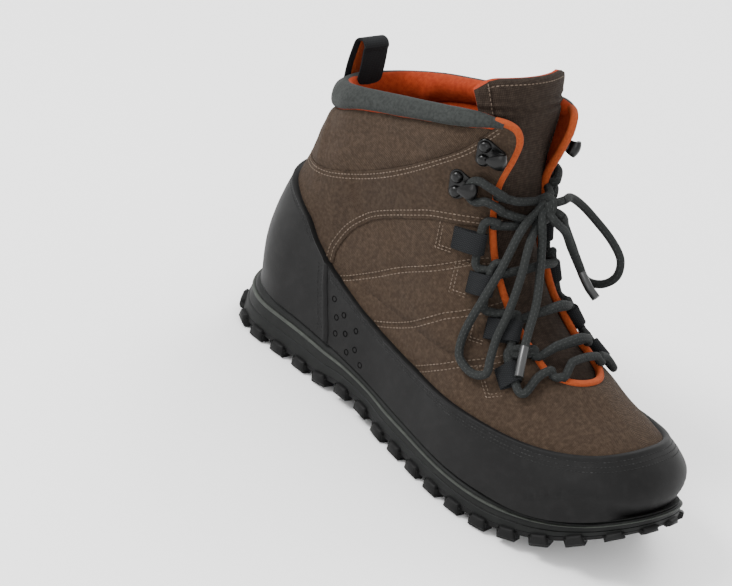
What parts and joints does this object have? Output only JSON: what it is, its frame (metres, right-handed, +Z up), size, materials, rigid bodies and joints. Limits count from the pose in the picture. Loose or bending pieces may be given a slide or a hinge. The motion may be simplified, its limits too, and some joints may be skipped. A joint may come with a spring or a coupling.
{
  "type": "wading boot",
  "caption": "Ankle-high lace-up wading boot for the right foot, with a cleated rubber sole and flush steel studs.",
  "frame": {"origin": "on the floor, under the middle of the standing boot's box", "axes": "+X towards the toe, +Z up, the foot's outer side towards -Y"},
  "size_m": [0.3178, 0.1141, 0.224],
  "materials": {
    "sole_rubber": "matt moulded black rubber",
    "midsole_foam": "matt dark foam",
    "footbed_fabric": "flat knit",
    "upper_fabric": "taupe-brown coated weave",
    "rand_rubber": "fine-grained matt black rubber",
    "collar_padding": "dark grey-green padded knit",
    "tongue_fabric": "brown padded knit",
    "webbing": "dark grey woven webbing",
    "lace_cord": "dark grey round braid with light flecks",
    "hook_metal": "black enamelled metal",
    "stud_steel": "bare steel"
  },
  "bodies": {
    "root": {"outsole": "sole_rubber", "midsole": "midsole_foam", "insole": "footbed_fabric", "upper": "upper_fabric", "rand": "rand_rubber", "heel_counter": "rand_rubber", "collar": "collar_padding", "tongue": "tongue_fabric", "pull_loop": "webbing", "lace_loop_outer_1": "webbing", "lace_loop_outer_2": "webbing", "lace_loop_outer_3": "webbing", "lace_loop_outer_4": "webbing", "lace_loop_inner_1": "webbing", "lace_loop_inner_2": "webbing", "lace_loop_inner_3": "webbing", "lace_loop_inner_4": "webbing", "lace_hook_outer_1": "hook_metal", "lace_hook_outer_2": "hook_metal", "lace_hook_inner_1": "hook_metal", "lace_hook_inner_2": "hook_metal", "lace_bar": "lace_cord", "lace_crossing_1": "lace_cord", "lace_crossing_2": "lace_cord", "lace_crossing_3": "lace_cord", "lace_crossing_4": "lace_cord", "lace_top": "lace_cord", "lace_knot": "lace_cord", "lace_bow_outer": "lace_cord", "lace_bow_inner": "lace_cord", "lace_end_outer": "lace_cord", "lace_end_inner": "lace_cord", "stud_1": "stud_steel", "stud_2": "stud_steel", "stud_3": "stud_steel", "stud_4": "stud_steel", "stud_5": "stud_steel", "stud_6": "stud_steel", "stud_7": "stud_steel", "stud_8": "stud_steel", "stud_9": "stud_steel", "stud_10": "stud_steel", "stud_11": "stud_steel", "stud_12": "stud_steel", "stud_13": "stud_steel"}
  },
  "joints": []
}
